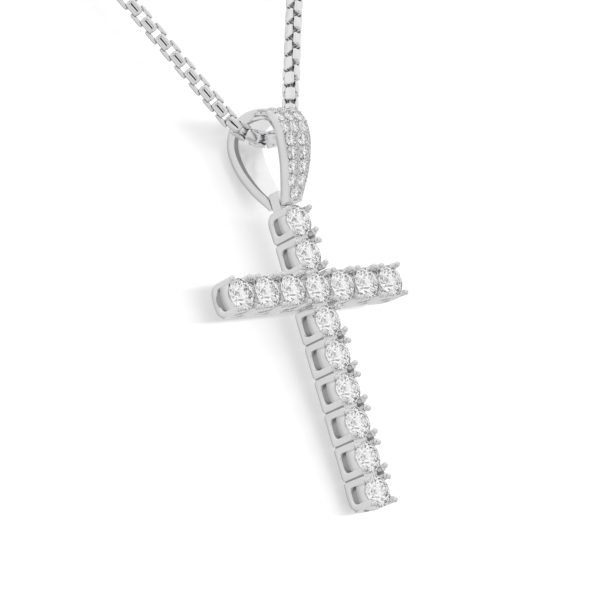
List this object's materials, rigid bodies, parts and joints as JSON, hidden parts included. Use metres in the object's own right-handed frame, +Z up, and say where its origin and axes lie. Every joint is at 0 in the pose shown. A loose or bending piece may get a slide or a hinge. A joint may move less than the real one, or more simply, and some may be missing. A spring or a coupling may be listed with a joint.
{
  "type": "cross pendant on a round box chain",
  "caption": "Cross pendant of round brilliants in claw settings, hanging from a stone-set bail on a round box chain.",
  "frame": {"origin": "the point of the clasp that rests on the nape of the neck, in the middle of the clasp's length", "axes": "+Z up as worn; the cross's front faces -Y; +X is to the right as seen from the front"},
  "size_m": [0.111, 0.0969, 0.1638],
  "materials": {
    "setting_metal": "polished white gold",
    "chain_metal": "polished white gold",
    "main_stone": "clear, polished facets",
    "small_stone": "clear, polished facets"
  },
  "bodies": {
    "chain": {"chain_left": "chain_metal", "chain_right": "chain_metal", "clasp": "chain_metal"},
    "hanger": {"bail": "setting_metal", "bail_stone_1": "small_stone", "bail_stone_2": "small_stone", "bail_stone_3": "small_stone", "bail_stone_4": "small_stone", "bail_stone_5": "small_stone", "bail_stone_6": "small_stone", "bail_stone_7": "small_stone", "bail_stone_8": "small_stone", "bail_stone_9": "small_stone", "bail_stone_10": "small_stone", "bail_stone_11": "small_stone", "bail_stone_12": "small_stone", "bail_stone_13": "small_stone", "bail_stone_14": "small_stone", "bail_stone_15": "small_stone", "bail_stone_16": "small_stone", "bail_stone_17": "small_stone", "bail_stone_18": "small_stone"},
    "pendant": {"cross_frame": "setting_metal", "upright_stone_1": "main_stone", "upright_stone_2": "main_stone", "upright_stone_3": "main_stone", "upright_stone_4": "main_stone", "upright_stone_5": "main_stone", "upright_stone_6": "main_stone", "upright_stone_7": "main_stone", "upright_stone_8": "main_stone", "upright_stone_9": "main_stone", "left_stone_1": "main_stone", "left_stone_2": "main_stone", "left_stone_3": "main_stone", "right_stone_1": "main_stone", "right_stone_2": "main_stone", "right_stone_3": "main_stone"}
  },
  "joints": [
    {"name": "bail_swing", "type": "hinge", "parent": "chain", "child": "hanger", "pos_m": [0, -0.09, -0.127], "axis": [1, 0, 0], "range_deg": [-80, 80]},
    {"name": "cross_sway", "type": "hinge", "parent": "hanger", "child": "pendant", "pos_m": [0, -0.08951, -0.13301], "axis": [0, 1, 0], "range_deg": [-18, 18]}
  ]
}
